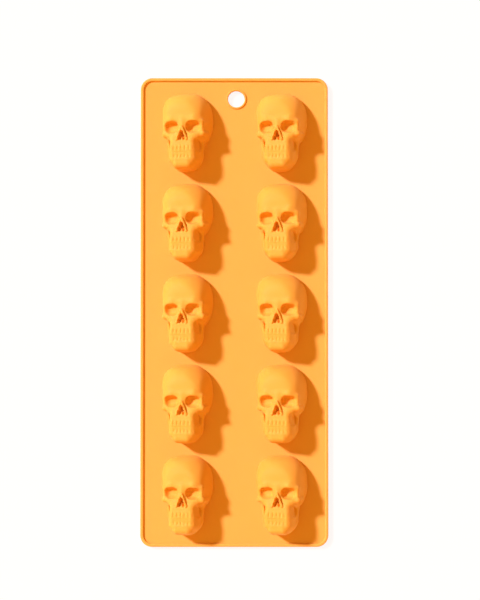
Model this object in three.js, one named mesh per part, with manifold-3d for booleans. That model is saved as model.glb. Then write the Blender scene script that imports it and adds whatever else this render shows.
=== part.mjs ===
// Silicone chocolate mould with ten skull-shaped cups, lying flat on its filling side.
// Millimetres. +Z is up, out of the skulls. +Y is up the faces, towards the hanging hole.
// The origin is the middle of the underside.
import * as THREE from 'three';
import Module from 'manifold-3d';

const wasm = await Module();
wasm.setup();

// Driving sizes of the cups. The relief stands on top of the sheet.
const SKULL_WIDTH = 30.6;
const SKULL_LENGTH = 47.2;
const SKULL_HEIGHT = 16.9;
const CUP_WALL = 1.5;

// Driving sizes of the sheet and its rim
const COLUMNS = 2;
const ROWS = 5;
const COLUMN_GAP = 25.6;
const ROW_GAP = 6.8;
const SIDE_MARGIN = 10.7;
const TOP_MARGIN = 7.2;
const BOTTOM_MARGIN = 5.8;
const SHEET_THICKNESS = 2;
const CORNER_RADIUS = 7;
const RIM_WIDTH = 1.9;
const RIM_RISE = 1.2;
const RIM_EDGE_RADIUS = 0.6;

// Hanging hole, measured from the outer edge at the top and from the middle line
const HANG_HOLE_DIAMETER = 10;
const HANG_HOLE_FROM_TOP = 12.5;
const HANG_HOLE_OFFSET = 1.2;

// Low raised lip round the hanging hole
const LIP_WIDTH = 1;
const LIP_RISE = 0.8;
const LIP_EDGE_RADIUS = 0.3;

// Places that follow from the driving sizes
const COLUMN_PITCH = SKULL_WIDTH + COLUMN_GAP;
const ROW_PITCH = SKULL_LENGTH + ROW_GAP;
const RIM_INNER_HALF_WIDTH = (COLUMN_PITCH * (COLUMNS - 1) + SKULL_WIDTH) / 2 + SIDE_MARGIN;
const RIM_INNER_HALF_LENGTH = (ROW_PITCH * (ROWS - 1) + SKULL_LENGTH + TOP_MARGIN + BOTTOM_MARGIN) / 2;
const HALF_WIDTH = RIM_INNER_HALF_WIDTH + RIM_WIDTH;
const HALF_LENGTH = RIM_INNER_HALF_LENGTH + RIM_WIDTH;
const ROWS_MIDDLE_Y = (BOTTOM_MARGIN - TOP_MARGIN) / 2;
const RIM_HEIGHT = SHEET_THICKNESS + RIM_RISE;
const HANG_HOLE_Y = HALF_LENGTH - HANG_HOLE_FROM_TOP;

// Fineness of the facets
const CORNER_STEPS = 5;
const EDGE_STEPS = 2;
const HOLE_STEPS = 20;

// How far a cutting solid runs past the faces that it cuts
const CUT_OVERRUN = 1;

// The skull is drawn in a box of this size, face up, and then stretched to the driving sizes
// of a cup. The head looks to one side: it is turned about its long axis and moved back to the
// middle. The face sits a little to the right on the head, as the hand-cut pattern has it.
// Below the straight foot the relief drops straight down, so the casting lifts out, and the
// two halves of the head run together softly at the middle line.
const FIGURE = {
  box: [30.35, 47.15, 16.77],
  turn: THREE.MathUtils.degToRad(15.5),
  headShift: [0.2, -0.24],
  faceShift: 0.88,
  straightFoot: 2.6,
  midlineSoftness: 0.14,
};

// The braincase, in the head's own turned frame: x to the side, y up the face, z forward.
// A boxy mass, whose walls draw in towards the front and whose crown leans a little to the left,
// is trimmed by a wide dome, which lowers it towards the crown. A mass has a centre, radii and,
// where it isn't round, the half length of the flat between its ends on each axis.
const BRAINCASE = { centre: [0, 9.2, 2.4], radii: [7, 12.6, 7], flat: [8.2, 2, 8.7] };
const BRAINCASE_LEAN_SHARE = 0.07;
const BRAINCASE_DRAFT_SHARE = 0.24;
const DOME = { centre: [0, 3, 0], radii: [20.5, 21.6, 16.9], blend: 2 };

// Rounded masses of the face in the same frame, and how softly each runs into what is there
const MASSES = [
  { name: 'middle face', centre: [0, 0, 3.4], radii: [6, 5, 9.3], flat: [6.4, 3, 1], blend: 2.5 },
  { name: 'upper jaw', centre: [0, -9.5, 6.9], radii: [4, 6, 8.2], flat: [5.1, 2, 0.4], blend: 2.5 },
  { name: 'teeth', centre: [0, -13.8, 7.1], radii: [4, 4.6, 8.2], flat: [5.5, 3, 0.3], blend: 1.5 },
  { name: 'chin', centre: [0, -18.8, 7.6], radii: [4.4, 3.4, 7.9], flat: [2.3, 1.6, 0.4], blend: 1.4 },
];

// Long bones of one half of the face, from point to point, with the radius at each end
const BONES = [
  { name: 'lower jaw', from: [4.2, -18.5, 8.6], to: [7.8, -15.7, 4.8], radii: [2.5, 2.2], blend: 2 },
  { name: 'jaw branch', from: [8.6, -15.4, 5], to: [10.2, -3, 6.2], radii: [1.9, 1.8], blend: 0.9 },
  { name: 'inner brow', from: [0, 6.2, 13], to: [6.6, 6.6, 13.1], radii: [1.3, 1.3], blend: 2.5 },
  { name: 'outer brow', from: [6.6, 6.6, 13.1], to: [11.1, 4.9, 11.3], radii: [1.3, 1], blend: 2 },
  { name: 'outer eye rim', from: [11.1, 4.9, 11.3], to: [11.7, -1.8, 11], radii: [1, 1], blend: 1.6 },
  { name: 'lower eye rim', from: [3.4, -2.9, 12.7], to: [8.6, -2.7, 11.9], radii: [0.9, 1], blend: 1.2 },
  { name: 'cheekbone', from: [8.6, -2.7, 11.9], to: [11.7, -2.4, 10.8], radii: [1, 1.2], blend: 1.2 },
  { name: 'cheek arch', from: [11.7, -2.4, 10.8], to: [12.3, -2, 4], radii: [1.2, 1.4], blend: 1.5 },
  { name: 'cheek buttress', from: [8, -4, 11.2], to: [6.4, -8.8, 11], radii: [1, 1.3], blend: 1.4 },
  { name: 'nose bridge', from: [0, 6, 13], to: [0, 0.9, 14.9], radii: [1.7, 0.9], blend: 2 },
  { name: 'nose rim', from: [0.1, 1.8, 15.3], to: [3, -5.8, 15], radii: [0.8, 0.9], blend: 0.4 },
];

// Straight-sided skirt that carries the jaw down to the sheet, in the frame of the sheet
const JAW_SKIRT = {
  centre: [-0.2, -9, 0],
  radii: [9, 13.3, 60],
  flat: [1, 1.1, 0],
  top: 4.2,
  draft: 0.06,
  blend: 2.5,
};

// Hollows of one half of the face, each slanted in the plane of the face
const HOLLOWS = [
  {
    name: 'eye socket',
    centre: [6.75, 1.65, 14.6],
    slant: -5,
    radii: [3.2, 2.9, 5],
    flat: [1.2, 0.6, 0],
    blend: 0.6,
  },
  { name: 'nose lobe', centre: [1.35, -4.75, 15.4], slant: 0, radii: [1.2, 1.7, 4.4], blend: 0.3 },
  { name: 'nose opening', centre: [0.55, -2.5, 15.6], slant: 0, radii: [0.9, 2.2, 4.2], blend: 0.3 },
  { name: 'cheek hollow', centre: [8.2, -9.8, 11.2], slant: 4, radii: [1.3, 4.8, 3.6], blend: 0.8 },
];

// Distance to a rounded mass, less than zero inside it
function massDistance([x, y, z], { centre, radii, flat = [0, 0, 0] }) {
  const outside = [x - centre[0], y - centre[1], z - centre[2]]
    .map((value, axis) => Math.max(Math.abs(value) - flat[axis], 0));
  const inRadii = Math.hypot(...outside.map((value, axis) => value / radii[axis]));
  const slope = Math.hypot(...outside.map((value, axis) => value / radii[axis] ** 2));
  return inRadii * (inRadii - 1) / Math.max(slope, 1e-9);
}

// Distance to a bone, whose radius changes evenly from one end to the other
function boneDistance([x, y, z], { from, to, radii }) {
  const along = to.map((value, axis) => value - from[axis]);
  const offset = [x - from[0], y - from[1], z - from[2]];
  const dot = offset[0] * along[0] + offset[1] * along[1] + offset[2] * along[2];
  const share = THREE.MathUtils.clamp(dot / (along[0] ** 2 + along[1] ** 2 + along[2] ** 2), 0, 1);
  const gap = Math.hypot(...offset.map((value, axis) => value - share * along[axis]));
  return gap - THREE.MathUtils.lerp(radii[0], radii[1], share);
}

// Union of two distances with a fillet of the given width, and the matching cut
function join(first, second, blend) {
  const near = Math.max(blend - Math.abs(first - second), 0) / blend;
  return Math.min(first, second) - near * near * blend / 4;
}

function carve(body, tool, blend) {
  return -join(-body, tool, blend);
}

// A point turned about the middle of a hollow, within the plane of the face
function slanted([x, y, z], { centre, slant }) {
  const angle = THREE.MathUtils.degToRad(slant);
  const dx = x - centre[0];
  const dy = y - centre[1];
  return [
    centre[0] + dx * Math.cos(angle) + dy * Math.sin(angle),
    centre[1] - dx * Math.sin(angle) + dy * Math.cos(angle),
    z,
  ];
}

// Distance to the skull as drawn, less than zero inside it
function drawnSkull(x, y, z) {
  const side = x - FIGURE.headShift[0];
  const up = y + FIGURE.headShift[1];
  const height = Math.max(z, FIGURE.straightFoot);
  const across = side * Math.cos(FIGURE.turn) + height * Math.sin(FIGURE.turn);
  const forward = height * Math.cos(FIGURE.turn) - side * Math.sin(FIGURE.turn);
  const leaning = across + BRAINCASE_LEAN_SHARE * (up - BRAINCASE.centre[1]);
  const headPoint = [Math.hypot(leaning, FIGURE.midlineSoftness), up, forward];
  const point = [Math.hypot(across - FIGURE.faceShift, FIGURE.midlineSoftness), up, forward];

  const braincase = massDistance(headPoint, BRAINCASE) + Math.max(forward, 0) * BRAINCASE_DRAFT_SHARE;
  let distance = carve(braincase, -massDistance(headPoint, DOME), DOME.blend);
  for (const mass of MASSES) {
    distance = join(distance, massDistance(point, mass), mass.blend);
  }
  for (const bone of BONES) {
    distance = join(distance, boneDistance(point, bone), bone.blend);
  }
  const skirtSide = massDistance([x, up, 0], JAW_SKIRT) + Math.max(z, 0) * JAW_SKIRT.draft;
  distance = join(distance, Math.max(skirtSide, z - JAW_SKIRT.top), JAW_SKIRT.blend);
  for (const hollow of HOLLOWS) {
    distance = carve(distance, massDistance(slanted(point, hollow), hollow), hollow.blend);
  }
  return distance;
}

// The same, stretched to the driving sizes of a cup
const STRETCH_X = SKULL_WIDTH / FIGURE.box[0];
const STRETCH_Y = SKULL_LENGTH / FIGURE.box[1];
const STRETCH_Z = SKULL_HEIGHT / FIGURE.box[2];
const LEAST_STRETCH = Math.min(STRETCH_X, STRETCH_Y, STRETCH_Z);

function skullDistance({ x, y, z }) {
  return drawnSkull(x / STRETCH_X, y / STRETCH_Y, z / STRETCH_Z) * LEAST_STRETCH;
}

// The cup's surfaces are found along rays that fan out from a flat core at the foot.
// The core is as wide as the skull at the temples and narrows towards the jaw.
const CORE_SHARE = 0.8;
const CORE_JAW_SHARE = 0.64;
const CORE_NARROWS_FROM = 0.25;
const CORE_NARROWS_TO = -0.65;
const EDGE_SHARPNESS = 6;

// Facet lines across and up the face. Each band has its end and its number of steps,
// closest over the eyes and the nose.
const ACROSS_BANDS = [{ end: -1 }, { end: -0.78, steps: 2 }, { end: 0.78, steps: 11 }, { end: 1, steps: 2 }];
const UP_BANDS = [{ end: -1 }, { end: -0.36, steps: 5 }, { end: 0.36, steps: 8 }, { end: 1, steps: 4 }];

function stations(bands) {
  const places = [bands[0].end];
  for (let band = 1; band < bands.length; band += 1) {
    const start = bands[band - 1].end;
    for (let step = 1; step <= bands[band].steps; step += 1) {
      places.push(THREE.MathUtils.lerp(start, bands[band].end, step / bands[band].steps));
    }
  }
  return places;
}

// Ray of one facet corner. across and up run from -1 to 1 and are laid out on a disc,
// so that the four sides of the grid together make the round edge of the foot.
function reliefRay(across, up) {
  const discX = across * Math.sqrt(1 - up * up / 2);
  const discY = up * Math.sqrt(1 - across * across / 2);
  const radius = Math.hypot(discX, discY);
  const belowTemples = CORE_NARROWS_FROM - discY;
  const narrowing = THREE.MathUtils.smoothstep(belowTemples, 0, CORE_NARROWS_FROM - CORE_NARROWS_TO);
  const widthShare = THREE.MathUtils.lerp(1, CORE_JAW_SHARE, narrowing);
  const planX = discX * widthShare * SKULL_WIDTH / 2;
  const planY = discY * SKULL_LENGTH / 2;
  const tilt = Math.PI / 2 * Math.min(radius, 1) ** EDGE_SHARPNESS;
  const outward = new THREE.Vector3(planX, planY, 0).normalize().multiplyScalar(Math.sin(tilt));
  const forward = new THREE.Vector3(-Math.sin(FIGURE.turn), 0, Math.cos(FIGURE.turn));
  const direction = outward.addScaledVector(forward, 1 - Math.sin(tilt));
  return {
    origin: new THREE.Vector3(planX, planY, 0).multiplyScalar(CORE_SHARE),
    direction: direction.normalize(),
  };
}

// Where the ray, followed inwards from outside, first lies as deep as asked under the skin
const MARCH_START = 60;
const MARCH_SHARE = 0.7;
const MARCH_STEPS = 300;
const MARCH_TOLERANCE = 1e-4;

function pointAtDepth({ origin, direction }, depth) {
  const point = new THREE.Vector3();
  let reach = MARCH_START;
  for (let step = 0; step < MARCH_STEPS; step += 1) {
    point.copy(origin).addScaledVector(direction, reach);
    const distance = skullDistance(point) + depth;
    if (distance < MARCH_TOLERANCE || reach <= 0) {
      break;
    }
    reach -= distance * MARCH_SHARE;
  }
  return point;
}

// Corners of one skin of the cup, row by row. The edge of the grid lies on the foot.
function skinPoints(depth) {
  const points = [];
  for (const up of stations(UP_BANDS)) {
    for (const across of stations(ACROSS_BANDS)) {
      const point = pointAtDepth(reliefRay(across, up), depth);
      if (Math.abs(up) === 1 || Math.abs(across) === 1) {
        point.z = 0;
      }
      points.push(point);
    }
  }
  return points;
}

// Numbers of the grid's edge corners, once round, anticlockwise seen from above
function edgeLoop(columnCount, rowCount) {
  const loop = [];
  for (let column = 0; column < columnCount - 1; column += 1) {
    loop.push(column);
  }
  for (let row = 0; row < rowCount - 1; row += 1) {
    loop.push(row * columnCount + columnCount - 1);
  }
  for (let column = columnCount - 1; column > 0; column -= 1) {
    loop.push((rowCount - 1) * columnCount + column);
  }
  for (let row = rowCount - 1; row > 0; row -= 1) {
    loop.push(row * columnCount);
  }
  return loop;
}

// Closed thin shell of one cup: outer skin, inner skin and the flat ring of its foot
const columnCount = stations(ACROSS_BANDS).length;
const rowCount = stations(UP_BANDS).length;
const outerSkin = skinPoints(0);
const innerSkin = skinPoints(CUP_WALL);
const footLoop = edgeLoop(columnCount, rowCount);

function cupGeometry() {
  const points = [...outerSkin, ...innerSkin];
  const inner = outerSkin.length;
  const faces = [];
  for (let row = 0; row < rowCount - 1; row += 1) {
    for (let column = 0; column < columnCount - 1; column += 1) {
      const a = row * columnCount + column;
      const b = a + 1;
      const c = b + columnCount;
      const d = a + columnCount;
      faces.push(a, b, c, a, c, d);
      faces.push(inner + a, inner + c, inner + b, inner + a, inner + d, inner + c);
    }
  }
  footLoop.forEach((corner, place) => {
    const next = footLoop[(place + 1) % footLoop.length];
    faces.push(corner, inner + corner, inner + next, corner, inner + next, next);
  });
  const geometry = new THREE.BufferGeometry().setFromPoints(points);
  geometry.setIndex(faces);
  geometry.computeVertexNormals();
  return geometry;
}

// Rounded rectangle at a given distance inside the mould's outer edge, anticlockwise
function outlineInside(inset) {
  const radius = Math.max(CORNER_RADIUS - inset, 0.1);
  const cornerX = HALF_WIDTH - inset - radius;
  const cornerY = HALF_LENGTH - inset - radius;
  const corners = [[1, 1], [-1, 1], [-1, -1], [1, -1]];
  return corners.flatMap(([sideX, sideY], quarter) => {
    const points = [];
    for (let step = 0; step <= CORNER_STEPS; step += 1) {
      const angle = (quarter + step / CORNER_STEPS) * Math.PI / 2;
      points.push(new THREE.Vector2(
        sideX * cornerX + radius * Math.cos(angle),
        sideY * cornerY + radius * Math.sin(angle),
      ));
    }
    return points;
  });
}

// Places of the cups on the sheet, row 1 at the hanging hole
function cupPlaces() {
  const places = [];
  for (let row = 0; row < ROWS; row += 1) {
    for (let column = 0; column < COLUMNS; column += 1) {
      places.push({
        row,
        column,
        x: (column - (COLUMNS - 1) / 2) * COLUMN_PITCH,
        y: ROWS_MIDDLE_Y + ((ROWS - 1) / 2 - row) * ROW_PITCH,
      });
    }
  }
  return places;
}

// Solid between two heights over a closed outline, with a fan of facets on each end
function prism(outline, bottom, top) {
  const middle = outline.reduce((sum, point) => sum.add(point), new THREE.Vector2())
    .divideScalar(outline.length);
  const vertices = [];
  for (const height of [bottom, top]) {
    for (const point of [...outline, middle]) {
      vertices.push(point.x, point.y, height);
    }
  }
  const layer = outline.length + 1;
  const hub = outline.length;
  const faces = [];
  outline.forEach((_, corner) => {
    const next = (corner + 1) % outline.length;
    faces.push(hub, next, corner);
    faces.push(layer + hub, layer + corner, layer + next);
    faces.push(corner, next, layer + next, corner, layer + next, layer + corner);
  });
  return new wasm.Manifold(new wasm.Mesh({
    numProp: 3,
    vertProperties: new Float32Array(vertices),
    triVerts: new Uint32Array(faces),
  }));
}

function geometryOf(solid) {
  const { vertProperties, triVerts } = solid.getMesh();
  const geometry = new THREE.BufferGeometry();
  geometry.setAttribute('position', new THREE.BufferAttribute(vertProperties, 3));
  geometry.setIndex(new THREE.BufferAttribute(triVerts, 1));
  geometry.computeVertexNormals();
  return geometry;
}

// Circle about the middle of the hanging hole, anticlockwise
function circleRoundHole(radius) {
  const points = [];
  for (let step = 0; step < HOLE_STEPS; step += 1) {
    const angle = step / HOLE_STEPS * 2 * Math.PI;
    points.push(new THREE.Vector2(
      HANG_HOLE_OFFSET + radius * Math.cos(angle),
      HANG_HOLE_Y + radius * Math.sin(angle),
    ));
  }
  return points;
}

// Flat sheet inside the rim, open at the mouth of every cavity and at the hanging hole
function sheetGeometry() {
  const mouth = footLoop.map((corner) => innerSkin[corner]);
  const openings = cupPlaces().map((place) => (
    mouth.map((point) => new THREE.Vector2(point.x + place.x, point.y + place.y))
  ));
  openings.push(circleRoundHole(HANG_HOLE_DIAMETER / 2));
  let solid = prism(outlineInside(RIM_WIDTH), 0, SHEET_THICKNESS);
  for (const opening of openings) {
    solid = solid.subtract(prism(opening, -CUT_OVERRUN, SHEET_THICKNESS + CUT_OVERRUN));
  }
  return geometryOf(solid);
}

// Section of a raised band, from the foot of its outer side over the rounded edges to its inner foot
function bandSection(width, bottom, top, edgeRadius) {
  const radius = Math.min(edgeRadius, width / 2, top - bottom);
  const section = [{ inset: 0, height: bottom }];
  const edges = [{ inset: radius, start: Math.PI }, { inset: width - radius, start: Math.PI / 2 }];
  for (const edge of edges) {
    for (let step = 0; step <= EDGE_STEPS; step += 1) {
      const angle = edge.start - step / EDGE_STEPS * Math.PI / 2;
      section.push({
        inset: edge.inset + radius * Math.cos(angle),
        height: top - radius + radius * Math.sin(angle),
      });
    }
  }
  section.push({ inset: width, height: bottom });
  return section;
}

// Closed band: a section carried round, on the outline that the function gives for each inset
function bandGeometry(section, outlineAt) {
  const loops = section.map(({ inset, height }) => (
    outlineAt(inset).map((point) => new THREE.Vector3(point.x, point.y, height))
  ));
  const loopLength = loops[0].length;
  const faces = [];
  for (let ring = 0; ring < loops.length; ring += 1) {
    const nextRing = (ring + 1) % loops.length;
    for (let corner = 0; corner < loopLength; corner += 1) {
      const nextCorner = (corner + 1) % loopLength;
      const a = ring * loopLength + corner;
      const b = ring * loopLength + nextCorner;
      const c = nextRing * loopLength + nextCorner;
      const d = nextRing * loopLength + corner;
      faces.push(a, b, c, a, c, d);
    }
  }
  const geometry = new THREE.BufferGeometry().setFromPoints(loops.flat());
  geometry.setIndex(faces);
  geometry.computeVertexNormals();
  return geometry;
}

// Raised rim all round, down to the underside
function rimGeometry() {
  return bandGeometry(bandSection(RIM_WIDTH, 0, RIM_HEIGHT, RIM_EDGE_RADIUS), outlineInside);
}

// Lip on top of the sheet round the hanging hole
function lipGeometry() {
  const section = bandSection(LIP_WIDTH, SHEET_THICKNESS, SHEET_THICKNESS + LIP_RISE, LIP_EDGE_RADIUS);
  return bandGeometry(section, (inset) => circleRoundHole(HANG_HOLE_DIAMETER / 2 + LIP_WIDTH - inset));
}

// Orange silicone, a little glossier where the cups are polished
const sheetSilicone = new THREE.MeshStandardMaterial({ color: 0xf9a548, roughness: 0.55, metalness: 0 });
const rimSilicone = new THREE.MeshStandardMaterial({ color: 0xfbab4e, roughness: 0.55, metalness: 0 });
const cupSilicone = new THREE.MeshStandardMaterial({ color: 0xfbab4e, roughness: 0.45, metalness: 0 });

const mould = new THREE.Group();
mould.name = 'skull_chocolate_mould';

const sheet = new THREE.Mesh(sheetGeometry(), sheetSilicone);
sheet.name = 'base_sheet';
mould.add(sheet);

const rim = new THREE.Mesh(rimGeometry(), rimSilicone);
rim.name = 'rim_bead';
mould.add(rim);

const lip = new THREE.Mesh(lipGeometry(), rimSilicone);
lip.name = 'hang_hole_lip';
mould.add(lip);

const cupShell = cupGeometry();
for (const place of cupPlaces()) {
  const cup = new THREE.Mesh(cupShell, cupSilicone);
  cup.name = `skull_cup_row${place.row + 1}_column${place.column + 1}`;
  cup.position.set(place.x, place.y, SHEET_THICKNESS);
  mould.add(cup);
}

export default mould;
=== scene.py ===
import math

import bmesh
import bpy
import numpy as np
from mathutils import Matrix, Vector


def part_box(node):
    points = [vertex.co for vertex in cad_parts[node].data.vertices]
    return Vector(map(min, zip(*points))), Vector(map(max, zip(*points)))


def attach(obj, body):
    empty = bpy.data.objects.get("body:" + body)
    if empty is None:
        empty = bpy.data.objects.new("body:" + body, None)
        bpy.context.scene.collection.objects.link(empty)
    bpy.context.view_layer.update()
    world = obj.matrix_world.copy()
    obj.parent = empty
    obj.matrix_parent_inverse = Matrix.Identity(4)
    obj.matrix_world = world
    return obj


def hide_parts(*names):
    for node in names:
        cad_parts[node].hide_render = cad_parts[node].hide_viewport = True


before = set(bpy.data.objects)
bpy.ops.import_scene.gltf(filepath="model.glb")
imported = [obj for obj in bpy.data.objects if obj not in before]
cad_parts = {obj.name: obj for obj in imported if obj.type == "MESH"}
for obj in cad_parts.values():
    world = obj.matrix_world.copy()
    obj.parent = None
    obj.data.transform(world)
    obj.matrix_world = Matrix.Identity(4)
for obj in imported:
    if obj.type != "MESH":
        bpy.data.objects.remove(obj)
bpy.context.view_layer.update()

bl_info = {
    "name": "Skull Chocolate Mould",
    "version": (1, 0, 0),
    "blender": (4, 5, 0),
    "location": "View3D > Sidebar > Mould",
    "description": "Models a silicone chocolate mould with rows of skull cups",
    "category": "Add Mesh",
}

MM = 0.001

# Rows and columns of cups, as the frame names them
ROWS = 5
COLUMNS = 2


def cup_node(row, column):
    """Name of a cup's node in the frame"""
    return f"skull_cup_row{row + 1}_column{column + 1}"


def box_size(node, axis):
    """Size of a node's box along one axis"""
    low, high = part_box(node)
    return high[axis] - low[axis]


def low_corner(node, axis):
    """Lower end of a node's box along one axis"""
    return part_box(node)[0][axis]


def high_corner(node, axis):
    """Upper end of a node's box along one axis"""
    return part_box(node)[1][axis]


# Sizes that follow from the frame
SHEET_THICKNESS = box_size("base_sheet", 2)
RIM_HEIGHT = box_size("rim_bead", 2)
RIM_WIDTH = (box_size("rim_bead", 0) - box_size("base_sheet", 0)) / 2
MOULD_WIDTH = box_size("rim_bead", 0)
MOULD_LENGTH = box_size("rim_bead", 1)
COLUMN_PITCH = low_corner(cup_node(0, 1), 0) - low_corner(cup_node(0, 0), 0)
ROW_PITCH = low_corner(cup_node(0, 0), 1) - low_corner(cup_node(1, 0), 1)
ROWS_MIDDLE = (low_corner(cup_node(ROWS - 1, 0), 1) + high_corner(cup_node(0, 0), 1)) / 2
LIP_DIAMETER = box_size("hang_hole_lip", 0)
LIP_TOP = high_corner("hang_hole_lip", 2)
HOLE_X, HOLE_Y = (low_corner("hang_hole_lip", axis) + LIP_DIAMETER / 2 for axis in (0, 1))


class MouldSizes(bpy.types.PropertyGroup):
    """Sizes of the mould that a user would change"""

    skull_width: bpy.props.FloatProperty(
        name="Skull Width", description="Width of one skull at the sheet",
        default=30.6 * MM, min=0.01, unit="LENGTH")
    skull_length: bpy.props.FloatProperty(
        name="Skull Length", description="Length of one skull from crown to chin at the sheet",
        default=47.2 * MM, min=0.01, unit="LENGTH")
    skull_height: bpy.props.FloatProperty(
        name="Skull Height", description="Height of the relief above the sheet",
        default=16.9 * MM, min=0.005, unit="LENGTH")
    cup_wall: bpy.props.FloatProperty(
        name="Cup Wall", description="Thickness of the silicone round a cavity",
        default=1.5 * MM, min=0.0005, unit="LENGTH")
    foot_fillet: bpy.props.FloatProperty(
        name="Foot Fillet", description="Width of the soft run from a skull into the sheet",
        default=0.3 * MM, min=0.0001, unit="LENGTH")
    corner_radius: bpy.props.FloatProperty(
        name="Corner Radius", description="Radius of the mould's four outer corners",
        default=7.0 * MM, min=0.001, unit="LENGTH")
    rim_round: bpy.props.FloatProperty(
        name="Rim Rounding", description="Radius of the rim's upper edges",
        default=0.6 * MM, min=0.0001, unit="LENGTH")
    lip_width: bpy.props.FloatProperty(
        name="Lip Width", description="Width of the raised lip round the hanging hole",
        default=1.0 * MM, min=0.0001, unit="LENGTH")
    lip_round: bpy.props.FloatProperty(
        name="Lip Rounding", description="Radius of the lip's upper edges",
        default=0.35 * MM, min=0.0001, unit="LENGTH")


class MouldColours(bpy.types.PropertyGroup):
    """Colours of the mould and its stage"""

    silicone: bpy.props.FloatVectorProperty(
        name="Silicone", description="Colour of the silicone in plain light",
        default=(0.80, 0.39, 0.062), min=0.0, max=1.0, size=3, subtype="COLOR")
    silicone_warm: bpy.props.FloatVectorProperty(
        name="Warm Patches", description="Colour of the faint cloudy patches in the silicone",
        default=(0.80, 0.375, 0.056), min=0.0, max=1.0, size=3, subtype="COLOR")
    # The sheet's colours are paler than the cups': painted light, standing in for the light that the
    # white floor sends up through the thin silicone. The rim and the lip take them too.
    sheet: bpy.props.FloatVectorProperty(
        name="Sheet", description="Colour of the flat silicone, a little paler than the cups",
        default=(0.80, 0.42, 0.092), min=0.0, max=1.0, size=3, subtype="COLOR")
    sheet_warm_painted_light: bpy.props.FloatVectorProperty(
        name="Sheet Patches", description="Colour of the faint cloudy patches in the flat silicone",
        default=(0.80, 0.405, 0.085), min=0.0, max=1.0, size=3, subtype="COLOR")
    floor: bpy.props.FloatVectorProperty(
        name="Floor", description="Colour of the floor",
        default=(0.96, 0.96, 0.96), min=0.0, max=1.0, size=3, subtype="COLOR")


# Keeps a division by a distance clear of zero
LEAST_DISTANCE = 1e-9

# The figure of the head, in millimetres, face up, at the size at which it is drawn
DRAWN_WIDTH = 30.6
DRAWN_LENGTH = 47.6
DRAWN_HEIGHT = 16.95
HEAD_TURN = math.radians(15.5)
HEAD_SHIFT = (0.2, -0.24)
FACE_SHIFT = 0.88
STRAIGHT_FOOT = 2.6
MIDLINE_SOFTNESS = 0.14

# Rounded masses: centre, radii, half length of the flat between the rounded ends, blend
MASSES = {
    "middle face": ((0, 0, 3.4), (6.0, 5, 9.3), (6.4, 3, 1), 2.5),
    "upper jaw": ((0, -9.5, 6.9), (4.0, 6, 8.2), (5.1, 2, 0.4), 2.5),
    "teeth": ((0, -13.8, 7.1), (4.0, 4.6, 8.2), (5.5, 3, 0.3), 1.5),
    "chin": ((0, -18.9, 7.6), (3.7, 3.5, 5.2), (3.0, 0.9, 3.1), 1.4),
}

# Braincase: a boxy mass whose walls lean in, trimmed by a wide dome towards the crown
BRAINCASE = ((0, 9.2, 2.4), (7.0, 12.6, 7.0), (8.2, 2.0, 8.7))
BRAINCASE_LEAN_SHARE = 0.07
BRAINCASE_DRAFT_SHARE = 0.24
DOME = ((0, 6.0, 0), (17.2, 18.6, 17.0), (0, 0, 0))
DOME_BLEND = 2.0

# Bones of one half of the face: from, to, radius at each end, blend
BONES = {
    "lower jaw": ((4.2, -18.5, 8.6), (7.8, -15.7, 4.8), 2.5, 2.2, 2),
    "jaw branch": ((8.6, -15.4, 5), (10.2, -3, 6.2), 1.9, 1.8, 0.9),
    "inner brow": ((0, 6.2, 13.0), (6.6, 6.6, 13.1), 1.3, 1.3, 2.5),
    "outer brow": ((6.6, 6.6, 13.1), (11.1, 4.9, 11.3), 1.3, 1.0, 2),
    "outer eye rim": ((11.1, 4.9, 11.3), (11.7, -1.8, 11.0), 1.0, 1.0, 1.6),
    "lower eye rim": ((3.4, -2.9, 12.7), (8.6, -2.7, 11.9), 0.9, 1.0, 1.2),
    "cheekbone": ((8.6, -2.7, 11.9), (11.7, -2.4, 10.8), 1.0, 1.2, 1.2),
    "cheek arch": ((11.7, -2.4, 10.8), (12.3, -2.0, 4), 1.2, 1.4, 1.5),
    "cheek buttress": ((8.0, -4.0, 11.2), (6.4, -8.8, 11.0), 1.0, 1.3, 1.4),
    "nose bridge": ((0, 6.0, 13.0), (0, 0.9, 14.9), 1.7, 0.9, 2.0),
    "nose rim": ((0.1, 1.8, 15.4), (3.0, -5.8, 15.3), 0.75, 0.8, 0.25),
}

# Straight-sided skirt that carries the jaw down to the sheet
SKIRT = ((-0.2, -9, 0), (9.0, 13.3, 60), (1.0, 1.1, 0))
SKIRT_TOP = 4.2
SKIRT_DRAFT = 0.06
SKIRT_BLEND = 2.5

# Hollows of one half of the face: centre, slant in degrees, radii, flat, blend
HOLLOWS = {
    "eye socket": ((6.75, 1.65, 14.6), -5, (3.2, 2.9, 4.8), (1.2, 0.6, 0), 0.6),
    "nose lobe": ((1.25, -4.75, 15.4), 0, (0.95, 1.55, 3.0), (0, 0, 0), 0.3),
    "nose opening": ((0.55, -2.8, 15.6), 0, (0.7, 2.0, 4.2), (0, 0, 0), 0.4),
    "cheek hollow": ((9.1, -9.2, 12.2), 6, (1.2, 3.7, 3.0), (0, 0, 0), 1.2),
    "cheek slit": ((9.1, -9.4, 9.4), 5, (0.6, 3.3, 2.6), (0, 0, 0), 0.4),
}

# Teeth stand on an arch round a centre and fade out towards its ends
TOOTH_ARCH_CENTRE = 3.5
TOOTH_ARCH_RADIUS = 11.9
TOOTH_ARCH_REACH = 0.78
TOOTH_ARCH_FADE = 0.06
TOOTH_FRONT = 5
TOOTH_ROW_SOFTNESS = 0.3

# Gaps of each row: pitch along the arch, half width, and the stretches of height with their depths
UPPER_TEETH = {
    "pitch": 2.2, "gap": 0.40, "crown": (-13.2, -9.2), "notch": (-11.9, -9.9), "depths": (0.07, 0.42)}
LOWER_TEETH = {
    "pitch": 2.1, "gap": 0.38, "crown": (-17.0, -13.6), "notch": (-16.4, -15.3), "depths": (0.05, 0.46)}

# Line where the rows of teeth meet
BITE_HEIGHT = -13.4
BITE_WIDTH = 0.35
BITE_DEPTH = 0.12


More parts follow.
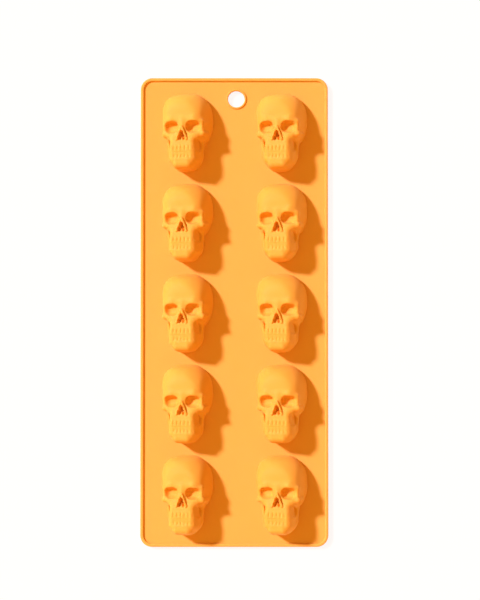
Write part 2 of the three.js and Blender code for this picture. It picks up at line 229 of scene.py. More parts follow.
def mass_distance(x, y, z, centre, radii, flat):
    """Distance to a rounded mass, less than zero inside it"""
    outside = [np.maximum(np.abs(value - middle) - half, 0)
               for value, middle, half in zip((x, y, z), centre, flat)]
    in_radii = np.sqrt(sum((value / radius) ** 2 for value, radius in zip(outside, radii)))
    slope = np.sqrt(sum((value / radius ** 2) ** 2 for value, radius in zip(outside, radii)))
    return in_radii * (in_radii - 1) / np.maximum(slope, LEAST_DISTANCE)


def bone_distance(x, y, z, start, end, start_radius, end_radius):
    """Distance to a bone whose radius changes evenly between its ends"""
    along = [b - a for a, b in zip(start, end)]
    offset = [value - a for value, a in zip((x, y, z), start)]
    share = sum(o * a for o, a in zip(offset, along)) / sum(a * a for a in along)
    share = np.clip(share, 0, 1)
    gap = np.sqrt(sum((o - share * a) ** 2 for o, a in zip(offset, along)))
    return gap - start_radius - (end_radius - start_radius) * share


def join(first, second, blend):
    """Union of two distances with a soft fillet between them"""
    near = np.maximum(blend - np.abs(first - second), 0) / blend
    return np.minimum(first, second) - near * near * blend / 4


def carve(body, hollow, blend):
    """First distance with the second cut out of it, with a soft rim"""
    return -join(-body, hollow, blend)


def window(value, low, high, softness):
    """1 between two heights and 0 outside them, with soft ends"""
    rise = 1 / (1 + np.exp(-(value - low) / softness))
    return rise / (1 + np.exp((value - high) / softness))


def tooth_gaps(y, arch, pitch, gap, crown, notch, depths):
    """Depth of the gaps between one row of teeth"""
    to_gap = (arch / pitch - np.round(arch / pitch)) * pitch
    height = window(y, *crown, TOOTH_ROW_SOFTNESS) * depths[0]
    height += window(y, *notch, TOOTH_ROW_SOFTNESS) * depths[1]
    return np.exp(-(to_gap / gap) ** 2) * height


def drawn_skull(x, y, z):
    """Distance to the skull as drawn, less than zero inside it"""
    side = x - HEAD_SHIFT[0]
    up = y + HEAD_SHIFT[1]
    height = np.maximum(z, STRAIGHT_FOOT)
    across = side * math.cos(HEAD_TURN) + height * math.sin(HEAD_TURN)
    forward = height * math.cos(HEAD_TURN) - side * math.sin(HEAD_TURN)
    leaning = np.hypot(across + BRAINCASE_LEAN_SHARE * (up - BRAINCASE[0][1]), MIDLINE_SOFTNESS)
    braincase = mass_distance(leaning, up, forward, *BRAINCASE)
    braincase += np.maximum(forward, 0) * BRAINCASE_DRAFT_SHARE
    dome = mass_distance(leaning, up, forward, *DOME)
    distance = carve(braincase, -dome, DOME_BLEND)
    across = across - FACE_SHIFT
    mirrored = np.hypot(across, MIDLINE_SOFTNESS)
    for centre, radii, flat, blend in MASSES.values():
        own = mass_distance(mirrored, up, forward, centre, radii, flat)
        distance = join(distance, own, blend)
    for start, end, start_radius, end_radius, blend in BONES.values():
        own = bone_distance(mirrored, up, forward, start, end, start_radius, end_radius)
        distance = join(distance, own, blend)
    skirt = mass_distance(x, up, 0 * x, *SKIRT) + np.maximum(z, 0) * SKIRT_DRAFT
    distance = join(distance, np.maximum(skirt, z - SKIRT_TOP), SKIRT_BLEND)
    for centre, slant, radii, flat, blend in HOLLOWS.values():
        angle = math.radians(slant)
        dx = mirrored - centre[0]
        dy = up - centre[1]
        turned_x = centre[0] + dx * math.cos(angle) + dy * math.sin(angle)
        turned_y = centre[1] - dx * math.sin(angle) + dy * math.cos(angle)
        distance = carve(distance, mass_distance(turned_x, turned_y, forward, centre, radii, flat), blend)

    angle = np.arctan2(across, forward - TOOTH_ARCH_CENTRE)
    arch = angle * TOOTH_ARCH_RADIUS
    gaps = tooth_gaps(up, arch, **UPPER_TEETH) + tooth_gaps(up, arch, **LOWER_TEETH)
    gaps += BITE_DEPTH * np.exp(-((up - BITE_HEIGHT) / BITE_WIDTH) ** 2)
    reach = 1 / (1 + np.exp((np.abs(angle) - TOOTH_ARCH_REACH) / TOOTH_ARCH_FADE))
    return distance + gaps * reach * (forward > TOOTH_FRONT)


# The skins are found along rays that fan out from a flat core at the foot
CORE_SHARE = 0.8
CORE_JAW_SHARE = 0.64
CORE_NARROWS_FROM = 0.25
CORE_NARROWS_TO = -0.65
EDGE_SHARPNESS = 9
MARCH_START = 60.0
MARCH_SHARE = 0.7
MARCH_STEPS = 160
MARCH_TOLERANCE = 1e-4

# Grid lines lie closer over the face: each band's end and its share of the lines
ACROSS_BANDS = ((-1.0, 0.0), (-0.78, 0.16), (0.78, 0.84), (1.0, 1.0))
UP_BANDS = ((-1.0, 0.0), (-0.8, 0.08), (-0.36, 0.36), (0.36, 0.76), (1.0, 1.0))

# Grid squares across and up each skin of a cup, and segments of each round part
OUTER_GRID = (184, 264)
INNER_GRID = (64, 92)
HOLE_SEGMENTS = 64
CORNER_SEGMENTS = 10
EDGE_SEGMENTS = 5

# A place on the grid, which runs from -1 to 1, lies on its edge past this
GRID_EDGE = 0.9999

# The fill of the sheet sweeps along one axis and may leave a gap where loops lie level with
# each other, so these turns are tried until there is none
FILL_SLANTS = (1.15, 1.3, 1.0, 1.2, 1.25, 1.1, 1.05, 1.35, 0.85)

# Passes that take the saw edge of the grid off the rims of the hollows
SMOOTHING_PASSES = 2
SMOOTHING_SHARE = 0.5

# Edges of the flat pieces that turn by more than this stay sharp
SHARP_ANGLE = math.radians(35)


def smoothstep(value, low, high):
    """Runs softly from 0 at one value to 1 at the other"""
    share = np.clip((value - low) / (high - low), 0, 1)
    return share * share * (3 - 2 * share)


def relief_rays(across, up, width, length):
    """Origins and directions of the rays for grid places between -1 and 1"""
    disc_x = across * np.sqrt(1 - up * up / 2)
    disc_y = up * np.sqrt(1 - across * across / 2)
    radius = np.hypot(disc_x, disc_y)
    narrowing = smoothstep(CORE_NARROWS_FROM - disc_y, 0, CORE_NARROWS_FROM - CORE_NARROWS_TO)
    plan_x = disc_x * (1 + (CORE_JAW_SHARE - 1) * narrowing) * width / 2
    plan_y = disc_y * length / 2
    tilt = math.pi / 2 * np.minimum(radius, 1) ** EDGE_SHARPNESS
    reach = np.maximum(np.hypot(plan_x, plan_y), LEAST_DISTANCE)
    direction = np.stack([
        plan_x / reach * np.sin(tilt) - math.sin(HEAD_TURN) * (1 - np.sin(tilt)),
        plan_y / reach * np.sin(tilt),
        math.cos(HEAD_TURN) * (1 - np.sin(tilt)),
    ], axis=1)
    direction /= np.linalg.norm(direction, axis=1, keepdims=True)
    origin = np.stack([plan_x, plan_y, 0 * plan_x], axis=1) * CORE_SHARE
    return origin, direction


def march(origin, direction, distance_at):
    """Follows each ray inwards from outside to where the distance first reaches zero"""
    reach = np.full(len(origin), MARCH_START)
    active = np.arange(len(origin))
    for _ in range(MARCH_STEPS):
        point = origin[active] + direction[active] * reach[active, None]
        distance = distance_at(*point.T)
        reach[active] = np.maximum(reach[active] - np.maximum(distance, 0) * MARCH_SHARE, 0)
        active = active[distance > MARCH_TOLERANCE]
        if not len(active):
            break
    return origin + direction * reach[:, None]


def foot_flare(z, radius):
    """How far a quarter round at the foot stands out from the wall at this height"""
    below_top = np.clip(radius - z, 0, radius)
    return radius - np.sqrt(radius ** 2 - below_top ** 2)


def banded(value, bands):
    """Moves an even grid place between -1 and 1 to where its band puts it"""
    ends, shares = zip(*bands)
    return np.interp((value + 1) / 2, shares, ends)


def add_skin(mesh, grid, sizes, depth):
    """Grid of one skin of a cup, shaped onto the drawn skull, in millimetres"""
    made = bmesh.ops.create_grid(mesh, x_segments=grid[0], y_segments=grid[1], size=1.0)
    places = np.array([vertex.co for vertex in made["verts"]])
    width = sizes.skull_width / MM
    length = sizes.skull_length / MM
    height = sizes.skull_height / MM
    stretch = np.array([width / DRAWN_WIDTH, length / DRAWN_LENGTH, height / DRAWN_HEIGHT])
    fillet = 0 if depth else sizes.foot_fillet / MM

    def distance_at(x, y, z):
        skull = drawn_skull(x / stretch[0], y / stretch[1], z / stretch[2]) * stretch.min()
        return skull + depth - foot_flare(z, fillet)

    edge = np.abs(places[:, :2]).max(axis=1) > GRID_EDGE
    across = banded(places[:, 0], ACROSS_BANDS)
    up = banded(places[:, 1], UP_BANDS)
    origin, direction = relief_rays(across, up, width, length)
    points = march(origin, direction, distance_at)
    points[edge, 2] = 0
    for vertex, point in zip(made["verts"], points):
        vertex.co = point
    inside = [vertex for vertex, on_edge in zip(made["verts"], edge) if not on_edge]
    for _ in range(SMOOTHING_PASSES):
        bmesh.ops.smooth_vert(mesh, verts=inside, factor=SMOOTHING_SHARE,
                              use_axis_x=True, use_axis_y=True, use_axis_z=True)
    return made["verts"]


def boundary_edges(verts):
    """Open edges of the grid that these vertices belong to"""
    edges = {edge for vertex in verts for edge in vertex.link_edges}
    return [edge for edge in edges if edge.is_boundary]


def cup_mesh(sizes):
    """Closed shell of one cup about its own foot, in metres"""
    mesh = bmesh.new()
    outer = add_skin(mesh, OUTER_GRID, sizes, 0)
    outer_edge = boundary_edges(outer)
    inner = add_skin(mesh, INNER_GRID, sizes, sizes.cup_wall / MM)
    inner_faces = {face for vertex in inner for face in vertex.link_faces}
    bmesh.ops.reverse_faces(mesh, faces=list(inner_faces))
    bmesh.ops.bridge_loops(mesh, edges=outer_edge + boundary_edges(inner))
    bmesh.ops.scale(mesh, vec=(MM, MM, MM), verts=mesh.verts)
    return mesh


def finish_piece(name, mesh, material, nodes, smooth_angle=None):
    """Turns a bmesh into a piece that rides on the mould and stands for its CAD nodes"""
    data = bpy.data.meshes.new(name)
    mesh.to_mesh(data)
    mesh.free()
    piece = bpy.data.objects.new(name, data)
    bpy.context.scene.collection.objects.link(piece)
    data.materials.append(material)
    data.shade_smooth()
    if smooth_angle is not None:
        data.set_sharp_from_angle(angle=smooth_angle)
    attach(piece, "root")
    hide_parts(*nodes)
    return piece


# Finish of the silicone: how light spreads in it and glances off it, and its grain
SILICONE_ROUGHNESS = 0.6
SCATTER_SHARE = 0.15
SCATTER_RADIUS = (0.5, 0.2, 0.05)
SCATTER_SCALE = 1 * MM
SPECULAR_LEVEL = 0.15
SHEEN_SHARE = 0.04
SHEEN_ROUGHNESS = 0.5
GRAIN_STRENGTH = 0.25
GRAIN_HEIGHT = 0.05 * MM
GRAIN_DETAIL = 2.0
WAVE_DETAIL = 1.0
WAVE_HEIGHT_SHARE = 4.0
PATCH_DETAIL = 3.0

# Span of the noise that the patches take up, and the noise's middle
PATCH_LOW = 0.35
PATCH_HIGH = 0.65
NOISE_MIDDLE = 0.5


def new_group(name, inputs, outputs):
    """Empty shader node group with named sockets"""
    group = bpy.data.node_groups.new(name, "ShaderNodeTree")
    for socket_name, kind, default in inputs:
        socket = group.interface.new_socket(name=socket_name, in_out="INPUT", socket_type=kind)
        if default is not None:
            socket.default_value = default
    for socket_name, kind in outputs:
        group.interface.new_socket(name=socket_name, in_out="OUTPUT", socket_type=kind)
    source = group.nodes.new("NodeGroupInput")
    sink = group.nodes.new("NodeGroupOutput")
    return group, source, sink


def cloudy_silicone_group():
    """Faint cloudy patches of a pigment stirred into silicone"""
    group, source, sink = new_group(
        "cloudy_silicone",
        [("Vector", "NodeSocketVector", None), ("Base", "NodeSocketColor", None),
         ("Patch", "NodeSocketColor", None), ("Scale", "NodeSocketFloat", 30.0),
         ("Amount", "NodeSocketFloat", 0.5)],
        [("Color", "NodeSocketColor")])
    noise = group.nodes.new("ShaderNodeTexNoise")
    noise.inputs["Detail"].default_value = PATCH_DETAIL
    spread = group.nodes.new("ShaderNodeMapRange")
    spread.inputs["From Min"].default_value = PATCH_LOW
    spread.inputs["From Max"].default_value = PATCH_HIGH
    strength = group.nodes.new("ShaderNodeMath")
    strength.operation = "MULTIPLY"
    mix = group.nodes.new("ShaderNodeMix")
    mix.data_type = "RGBA"
    links = group.links
    links.new(source.outputs["Vector"], noise.inputs["Vector"])
    links.new(source.outputs["Scale"], noise.inputs["Scale"])
    links.new(noise.outputs["Fac"], spread.inputs["Value"])
    links.new(spread.outputs["Result"], strength.inputs[0])
    links.new(source.outputs["Amount"], strength.inputs[1])
    links.new(strength.outputs["Value"], mix.inputs["Factor"])
    links.new(source.outputs["Base"], mix.inputs["A"])
    links.new(source.outputs["Patch"], mix.inputs["B"])
    links.new(mix.outputs["Result"], sink.inputs["Color"])
    return group


def moulded_skin_group():
    """Fine matte grain that moulding leaves on silicone, with a slow waviness under it"""
    group, source, sink = new_group(
        "moulded_skin",
        [("Vector", "NodeSocketVector", None), ("Grain Scale", "NodeSocketFloat", 2500.0),
         ("Wave Scale", "NodeSocketFloat", 60.0), ("Roughness", "NodeSocketFloat", 0.5),
         ("Roughness Spread", "NodeSocketFloat", 0.08)],
        [("Height", "NodeSocketFloat"), ("Roughness", "NodeSocketFloat")])
    grain = group.nodes.new("ShaderNodeTexNoise")
    grain.inputs["Detail"].default_value = GRAIN_DETAIL
    wave = group.nodes.new("ShaderNodeTexNoise")
    wave.inputs["Detail"].default_value = WAVE_DETAIL
    both = group.nodes.new("ShaderNodeMath")
    both.operation = "MULTIPLY_ADD"
    both.inputs[1].default_value = WAVE_HEIGHT_SHARE
    centred = group.nodes.new("ShaderNodeMath")
    centred.operation = "SUBTRACT"
    centred.inputs[1].default_value = NOISE_MIDDLE
    rough = group.nodes.new("ShaderNodeMath")
    rough.operation = "MULTIPLY_ADD"
    links = group.links
    links.new(source.outputs["Vector"], grain.inputs["Vector"])
    links.new(source.outputs["Grain Scale"], grain.inputs["Scale"])
    links.new(source.outputs["Vector"], wave.inputs["Vector"])
    links.new(source.outputs["Wave Scale"], wave.inputs["Scale"])
    links.new(wave.outputs["Fac"], both.inputs[0])
    links.new(grain.outputs["Fac"], both.inputs[2])
    links.new(both.outputs["Value"], sink.inputs["Height"])
    links.new(wave.outputs["Fac"], centred.inputs[0])
    links.new(centred.outputs["Value"], rough.inputs[0])
    links.new(source.outputs["Roughness Spread"], rough.inputs[1])
    links.new(source.outputs["Roughness"], rough.inputs[2])
    links.new(rough.outputs["Value"], sink.inputs["Roughness"])
    return group


def silicone_material(name, base, patch):
    """Orange food silicone: matte, a little translucent, with a fine grain"""
    material = bpy.data.materials.get(name)
    if material:
        return material
    material = bpy.data.materials.new(name)
    material.use_nodes = True
    tree = material.node_tree
    shader = tree.nodes["Principled BSDF"]
    place = tree.nodes.new("ShaderNodeTexCoord")
    cloudy = tree.nodes.new("ShaderNodeGroup")
    cloudy.node_tree = bpy.data.node_groups.get("cloudy_silicone") or cloudy_silicone_group()
    cloudy.inputs["Base"].default_value = (*base, 1)
    cloudy.inputs["Patch"].default_value = (*patch, 1)
    skin = tree.nodes.new("ShaderNodeGroup")
    skin.node_tree = bpy.data.node_groups.get("moulded_skin") or moulded_skin_group()
    skin.inputs["Roughness"].default_value = SILICONE_ROUGHNESS
    bump = tree.nodes.new("ShaderNodeBump")
    bump.inputs["Strength"].default_value = GRAIN_STRENGTH
    bump.inputs["Distance"].default_value = GRAIN_HEIGHT
    links = tree.links
    links.new(place.outputs["Object"], cloudy.inputs["Vector"])
    links.new(place.outputs["Object"], skin.inputs["Vector"])
    links.new(cloudy.outputs["Color"], shader.inputs["Base Color"])
    links.new(skin.outputs["Roughness"], shader.inputs["Roughness"])
    links.new(skin.outputs["Height"], bump.inputs["Height"])
    links.new(bump.outputs["Normal"], shader.inputs["Normal"])
    shader.inputs["Subsurface Weight"].default_value = SCATTER_SHARE
    shader.inputs["Subsurface Radius"].default_value = SCATTER_RADIUS
    shader.inputs["Subsurface Scale"].default_value = SCATTER_SCALE
    shader.inputs["Specular IOR Level"].default_value = SPECULAR_LEVEL
    shader.inputs["Sheen Weight"].default_value = SHEEN_SHARE
    shader.inputs["Sheen Roughness"].default_value = SHEEN_ROUGHNESS
    return material


def rounded_plate(mesh, width, length, radius):
    """Flat face with round corners about the origin"""
    bmesh.ops.create_grid(mesh, x_segments=1, y_segments=1, size=0.5)
    bmesh.ops.scale(mesh, vec=(width, length, 1), verts=mesh.verts)
    bmesh.ops.bevel(mesh, geom=mesh.verts[:], offset=radius, offset_type="OFFSET",
                    segments=CORNER_SEGMENTS, profile=0.5, affect="VERTICES", material=-1,
                    clamp_overlap=True)
    return mesh.faces[:]


def add_loop(mesh, points):
    """Closed loop of edges through these points"""
    made = bmesh.ops.create_circle(mesh, cap_ends=False, segments=len(points), radius=1.0)
    for vertex, point in zip(made["verts"], points):
        vertex.co = point
    return [edge for edge in mesh.edges if all(vertex in made["verts"] for vertex in edge.verts)]


def mouth_outline(sizes):
    """Edge of one cavity's mouth, as the inner skin meets the sheet, in millimetres"""
    skin = bmesh.new()
    verts = add_skin(skin, INNER_GRID, sizes, sizes.cup_wall / MM)
    start = next(vertex for vertex in verts if vertex.is_boundary)
    outline = [start.co.copy()]
    previous, current = None, start
    while True:
        following = next(
            edge.other_vert(current) for edge in current.link_edges
            if edge.is_boundary and edge.other_vert(current) is not previous)
        if following is start:
            break
        outline.append(following.co.copy())
        previous, current = current, following
    skin.free()
    return outline


def seen_itself(tree):
    """Socket that is 1 where a backdrop is seen itself, also by gloss or through glass"""
    path = tree.nodes.new("ShaderNodeLightPath")
    with_gloss = tree.nodes.new("ShaderNodeMath")
    with_gloss.operation = "MAXIMUM"
    with_glass = tree.nodes.new("ShaderNodeMath")
    with_glass.operation = "MAXIMUM"
    tree.links.new(path.outputs["Is Camera Ray"], with_gloss.inputs[0])
    tree.links.new(path.outputs["Is Glossy Ray"], with_gloss.inputs[1])
    tree.links.new(with_gloss.outputs["Value"], with_glass.inputs[0])
    tree.links.new(path.outputs["Is Transmission Ray"], with_glass.inputs[1])
    return with_glass.outputs["Value"]


# Window light from the upper left, as the shadows in the photograph fall
SUN_ENERGY = 4.2
SUN_ANGLE = math.radians(6)
SUN_COLOUR = (1.0, 0.93, 1.0)
SUN_ELEVATION = math.radians(39)
SUN_AZIMUTH = math.radians(31)

# Fill light: colours at the horizon and overhead, strengths from the near and the far side
HORIZON_COLOUR = (1.0, 0.40, 0.03)
OVERHEAD_COLOUR = (1.0, 0.54, 0.09)
NEAR_FILL = 1.35
FAR_FILL = 0.35

# The floor lies just under the mould. Where it is seen, this share of it is plain white, and the
# rest is lit paper that keeps the shadow.
FLOOR_HALF_WIDTH = 3.0
FLOOR_DROP = 0.2 * MM
FLOOR_ROUGHNESS = 0.9
FLOOR_GLOW_SHARE = 0.88

# Height of the camera's sensor in millimetres, and the least distance that it sees, in metres
SENSOR_HEIGHT = 36.0
NEAREST_SEEN = 0.01


class MOULD_OT_stage(bpy.types.Operator):
    """Adds the floor, the lights and the camera"""

    bl_idname = "mould.stage"
    bl_label = "Stage"

    # The camera looks down from above, from a little below the middle to a little above it
    camera_place: bpy.props.FloatVectorProperty(
        name="Camera", description="Place of the camera", size=3, subtype="TRANSLATION",
        default=(3.4 * MM, -14.0 * MM, 950 * MM))
    camera_target: bpy.props.FloatVectorProperty(
        name="Target", description="Point that the camera is aimed at", size=3, subtype="TRANSLATION",
        default=(3.4 * MM, 7.1 * MM, 0))
    view_angle: bpy.props.FloatProperty(
        name="View Angle", description="Camera's angle of view from top to bottom",
        default=math.radians(21.42), subtype="ANGLE")

    def execute(self, context):
        scene = context.scene
        scene.view_settings.view_transform = "Standard"
        self.add_camera(scene)
        self.add_window_light(scene)
        world = bpy.data.worlds.new("studio")
        world.use_nodes = True
        self.soft_fill(world.node_tree)
        scene.world = world
        self.add_floor(scene)
        return {"FINISHED"}

    def add_camera(self, scene):
        """Camera at its place, turned to its target"""
        camera_data = bpy.data.cameras.new("camera")
        camera_data.sensor_fit = "VERTICAL"
        camera_data.sensor_height = SENSOR_HEIGHT
        camera_data.lens = SENSOR_HEIGHT / (2 * math.tan(self.view_angle / 2))
        camera_data.clip_start = NEAREST_SEEN
        camera = bpy.data.objects.new("camera", camera_data)
        scene.collection.objects.link(camera)
        camera.location = self.camera_place
        gaze = Vector(self.camera_target) - Vector(self.camera_place)
        camera.rotation_euler = gaze.to_track_quat("-Z", "Y").to_euler()
        scene.camera = camera

    @staticmethod
    def add_window_light(scene):
        """Sun that shines from the window's side"""
        sun_data = bpy.data.lights.new("window_light", "SUN")
        sun_data.energy = SUN_ENERGY
        sun_data.angle = SUN_ANGLE
        sun_data.color = SUN_COLOUR
        sun = bpy.data.objects.new("window_light", sun_data)
        scene.collection.objects.link(sun)
        towards = Vector((
            -math.cos(SUN_ELEVATION) * math.cos(SUN_AZIMUTH),
            math.cos(SUN_ELEVATION) * math.sin(SUN_AZIMUTH),
            math.sin(SUN_ELEVATION)))
        sun.rotation_euler = towards.to_track_quat("Z", "Y").to_euler()

    def add_floor(self, scene):
        """Wide flat floor under the mould"""
        mesh = bmesh.new()
        bmesh.ops.create_grid(mesh, x_segments=1, y_segments=1, size=FLOOR_HALF_WIDTH)
        bmesh.ops.translate(mesh, verts=mesh.verts, vec=(0, 0, -FLOOR_DROP))
        data = bpy.data.meshes.new("floor")
        mesh.to_mesh(data)
        mesh.free()
        floor = bpy.data.objects.new("floor", data)
        scene.collection.objects.link(floor)
        data.materials.append(self.floor_material(scene.mould_colours))

    @staticmethod
    def soft_fill(tree):
        """Warm fill, as off a table, brighter from the near side and paler overhead"""
        place = tree.nodes.new("ShaderNodeTexCoord")
        towards = tree.nodes.new("ShaderNodeSeparateXYZ")
        colour = tree.nodes.new("ShaderNodeMix")
        colour.data_type = "RGBA"
        colour.inputs["A"].default_value = (*HORIZON_COLOUR, 1)
        colour.inputs["B"].default_value = (*OVERHEAD_COLOUR, 1)
        strength = tree.nodes.new("ShaderNodeMapRange")
        strength.inputs["From Min"].default_value = -1.0
        strength.inputs["To Min"].default_value = NEAR_FILL
        strength.inputs["To Max"].default_value = FAR_FILL
        sky = tree.nodes["Background"]
        backdrop = tree.nodes.new("ShaderNodeBackground")
        backdrop.inputs["Color"].default_value = (1, 1, 1, 1)
        mix = tree.nodes.new("ShaderNodeMixShader")
        tree.links.new(seen_itself(tree), mix.inputs["Fac"])
        tree.links.new(sky.outputs["Background"], mix.inputs[1])
        tree.links.new(backdrop.outputs["Background"], mix.inputs[2])
        tree.links.new(mix.outputs["Shader"], tree.nodes["World Output"].inputs["Surface"])
        tree.links.new(place.outputs["Generated"], towards.inputs["Vector"])
        tree.links.new(towards.outputs["Z"], colour.inputs["Factor"])
        tree.links.new(towards.outputs["Y"], strength.inputs["Value"])
        tree.links.new(colour.outputs["Result"], sky.inputs["Color"])
        tree.links.new(strength.outputs["Result"], sky.inputs["Strength"])

    @staticmethod
    def floor_material(colours):
        """White paper that keeps a light shadow"""
        material = bpy.data.materials.new("floor_paper")
        material.use_nodes = True
        tree = material.node_tree
        shader = tree.nodes["Principled BSDF"]
        shader.inputs["Base Color"].default_value = (*colours.floor, 1)
        shader.inputs["Roughness"].default_value = FLOOR_ROUGHNESS
        glow = tree.nodes.new("ShaderNodeEmission")
        glow.inputs["Strength"].default_value = 1.0
        mix = tree.nodes.new("ShaderNodeMixShader")
        share = tree.nodes.new("ShaderNodeMath")
        share.operation = "MULTIPLY"
        share.inputs[1].default_value = FLOOR_GLOW_SHARE
        output = tree.nodes["Material Output"]
        tree.links.new(seen_itself(tree), share.inputs[0])
        tree.links.new(share.outputs["Value"], mix.inputs["Fac"])
        tree.links.new(shader.outputs["BSDF"], mix.inputs[1])
        tree.links.new(glow.outputs["Emission"], mix.inputs[2])
        tree.links.new(mix.outputs["Shader"], output.inputs["Surface"])
        return material


def fill_between_loops(mesh):
    """Fills the plane between the loops, turned until the fill leaves no gap"""
    loops = mesh.edges[:]
    for slant in FILL_SLANTS:
        turn = Matrix.Rotation(slant, 3, "Z")
        bmesh.ops.rotate(mesh, cent=(0, 0, 0), matrix=turn, verts=mesh.verts)
        bmesh.ops.triangle_fill(mesh, use_beauty=True, use_dissolve=False, edges=loops, normal=(0, 0, 1))
        bmesh.ops.rotate(mesh, cent=(0, 0, 0), matrix=turn.transposed(), verts=mesh.verts)
        added = list(set(mesh.edges) - set(loops))
        if all(edge.is_boundary for edge in loops) and all(len(edge.link_faces) == 2 for edge in added):
            return
        bmesh.ops.delete(mesh, geom=mesh.faces[:], context="FACES_ONLY")
        bmesh.ops.delete(mesh, geom=added, context="EDGES")
    raise RuntimeError("The fill of the sheet leaves a gap")


def raise_faces(mesh, faces, height):
    """Gives flat faces a thickness, upwards"""
    made = bmesh.ops.extrude_face_region(mesh, geom=faces)
    risen = [item for item in made["geom"] if isinstance(item, bmesh.types.BMVert)]
    bmesh.ops.translate(mesh, verts=risen, vec=(0, 0, height))


def cup_place(row, column):
    """Middle of a cup's foot on the underside's plane"""
    x = (column - (COLUMNS - 1) / 2) * COLUMN_PITCH
    y = ROWS_MIDDLE + ((ROWS - 1) / 2 - row) * ROW_PITCH
    return Vector((x, y, 0))


class MOULD_OT_base_sheet(bpy.types.Operator):
    """Adds the flat sheet with the cavities' mouths and the hanging hole"""

    bl_idname = "mould.base_sheet"
    bl_label = "Base Sheet"

    def execute(self, context):
        sizes = context.scene.mould_sizes
        colours = context.scene.mould_colours
        mesh = bmesh.new()
        plate = rounded_plate(mesh, MOULD_WIDTH - 2 * RIM_WIDTH, MOULD_LENGTH - 2 * RIM_WIDTH,
                              sizes.corner_radius - RIM_WIDTH)
        bmesh.ops.delete(mesh, geom=plate, context="FACES_ONLY")
        mouth = [point * MM for point in mouth_outline(sizes)]
        for row in range(ROWS):
            for column in range(COLUMNS):
                add_loop(mesh, [point + cup_place(row, column) for point in mouth])
        bmesh.ops.create_circle(mesh, cap_ends=False, segments=HOLE_SEGMENTS,
                                radius=LIP_DIAMETER / 2 - sizes.lip_width,
                                matrix=Matrix.Translation((HOLE_X, HOLE_Y, 0)))
        fill_between_loops(mesh)
        raise_faces(mesh, mesh.faces[:], SHEET_THICKNESS)
        bmesh.ops.recalc_face_normals(mesh, faces=mesh.faces[:])
        # The sheet's paler colours paint the light that the floor sends up through it
        material = silicone_material("sheet_silicone_painted_light", colours.sheet, colours.sheet_warm_painted_light)
        finish_piece("base_sheet_skin", mesh, material, ["base_sheet"], SHARP_ANGLE)
        return {"FINISHED"}


def round_top_edges(mesh, above, radius):
    """Rounds the edges between the walls and the flat top of a band"""
    top = [edge for edge in mesh.edges
           if all(vertex.co.z > above for vertex in edge.verts)
           and any(abs(face.normal.z) < 0.5 for face in edge.link_faces)]
    bmesh.ops.bevel(mesh, geom=top, offset=radius, offset_type="OFFSET", segments=EDGE_SEGMENTS,
                    profile=0.5, affect="EDGES", material=-1, clamp_overlap=True)


class MOULD_OT_rim_bead(bpy.types.Operator):
    """Adds the raised rim round the sheet"""

    bl_idname = "mould.rim_bead"
    bl_label = "Rim Bead"

    def execute(self, context):
        sizes = context.scene.mould_sizes
        colours = context.scene.mould_colours
        mesh = bmesh.new()
        plate = rounded_plate(mesh, MOULD_WIDTH, MOULD_LENGTH, sizes.corner_radius)
        band = bmesh.ops.inset_region(mesh, faces=plate, thickness=RIM_WIDTH, use_boundary=True,
                                      use_even_offset=True)["faces"]
        middle = [face for face in mesh.faces if face not in set(band)]
        bmesh.ops.delete(mesh, geom=middle, context="FACES_ONLY")
        raise_faces(mesh, band, RIM_HEIGHT)
        bmesh.ops.recalc_face_normals(mesh, faces=mesh.faces[:])
        round_top_edges(mesh, RIM_HEIGHT / 2, sizes.rim_round)
        # The rim takes the sheet's paler colours, which paint the light from the floor under it
        material = silicone_material("rim_silicone_painted_light", colours.sheet, colours.sheet_warm_painted_light)
        finish_piece("rim_bead_skin", mesh, material, ["rim_bead"], SHARP_ANGLE)
        return {"FINISHED"}


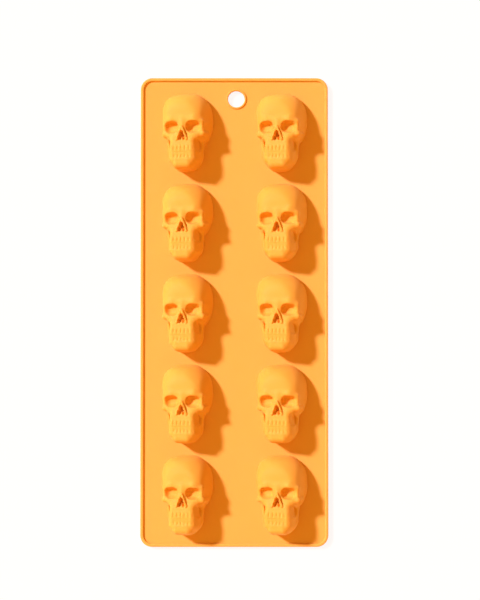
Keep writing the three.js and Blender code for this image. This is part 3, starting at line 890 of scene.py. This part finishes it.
class MOULD_OT_hang_hole_lip(bpy.types.Operator):
    """Adds the low lip round the hanging hole"""

    bl_idname = "mould.hang_hole_lip"
    bl_label = "Hanging Hole Lip"

    def execute(self, context):
        sizes = context.scene.mould_sizes
        colours = context.scene.mould_colours
        mesh = bmesh.new()
        loops = []
        for radius in (LIP_DIAMETER / 2, LIP_DIAMETER / 2 - sizes.lip_width):
            made = bmesh.ops.create_circle(mesh, cap_ends=False, segments=HOLE_SEGMENTS, radius=radius)
            loops += {edge for vertex in made["verts"] for edge in vertex.link_edges}
        ring = bmesh.ops.bridge_loops(mesh, edges=loops)["faces"]
        raise_faces(mesh, ring, LIP_TOP - SHEET_THICKNESS)
        bmesh.ops.translate(mesh, verts=mesh.verts, vec=(HOLE_X, HOLE_Y, SHEET_THICKNESS))
        bmesh.ops.recalc_face_normals(mesh, faces=mesh.faces[:])
        round_top_edges(mesh, (SHEET_THICKNESS + LIP_TOP) / 2, sizes.lip_round)
        # The lip takes the sheet's paler colours, which paint the light from the floor under it
        material = silicone_material("rim_silicone_painted_light", colours.sheet, colours.sheet_warm_painted_light)
        finish_piece("hang_hole_lip_skin", mesh, material, ["hang_hole_lip"], SHARP_ANGLE)
        return {"FINISHED"}


class MOULD_OT_skull_cups(bpy.types.Operator):
    """Adds the skull cups, one piece for each"""

    bl_idname = "mould.skull_cups"
    bl_label = "Skull Cups"

    def execute(self, context):
        sizes = context.scene.mould_sizes
        colours = context.scene.mould_colours
        material = silicone_material("cup_silicone", colours.silicone, colours.silicone_warm)
        shell = cup_mesh(sizes)
        for row in range(ROWS):
            for column in range(COLUMNS):
                mesh = shell.copy()
                place = cup_place(row, column) + Vector((0, 0, SHEET_THICKNESS))
                bmesh.ops.translate(mesh, verts=mesh.verts, vec=place)
                node = cup_node(row, column)
                finish_piece(f"{node}_skin", mesh, material, [node])
        shell.free()
        return {"FINISHED"}


OPERATORS = (
    MOULD_OT_stage,
    MOULD_OT_base_sheet,
    MOULD_OT_rim_bead,
    MOULD_OT_hang_hole_lip,
    MOULD_OT_skull_cups,
)


class MOULD_PT_panel(bpy.types.Panel):
    """Lists the mould's sizes, colours and pieces"""

    bl_idname = "MOULD_PT_panel"
    bl_label = "Chocolate Mould"
    bl_space_type = "VIEW_3D"
    bl_region_type = "UI"
    bl_category = "Mould"

    def draw(self, context):
        for group in (context.scene.mould_sizes, context.scene.mould_colours):
            for name in group.__annotations__:
                self.layout.prop(group, name)
        for operator in OPERATORS:
            self.layout.operator(operator.bl_idname)


CLASSES = (MouldSizes, MouldColours, *OPERATORS, MOULD_PT_panel)


def register():
    for item in CLASSES:
        bpy.utils.register_class(item)
    bpy.types.Scene.mould_sizes = bpy.props.PointerProperty(type=MouldSizes)
    bpy.types.Scene.mould_colours = bpy.props.PointerProperty(type=MouldColours)


def unregister():
    del bpy.types.Scene.mould_colours
    del bpy.types.Scene.mould_sizes
    for item in reversed(CLASSES):
        bpy.utils.unregister_class(item)


def main():
    register()
    bpy.ops.mould.stage()
    bpy.ops.mould.base_sheet()
    bpy.ops.mould.rim_bead()
    bpy.ops.mould.hang_hole_lip()
    bpy.ops.mould.skull_cups()


if __name__ == "__main__":
    main()
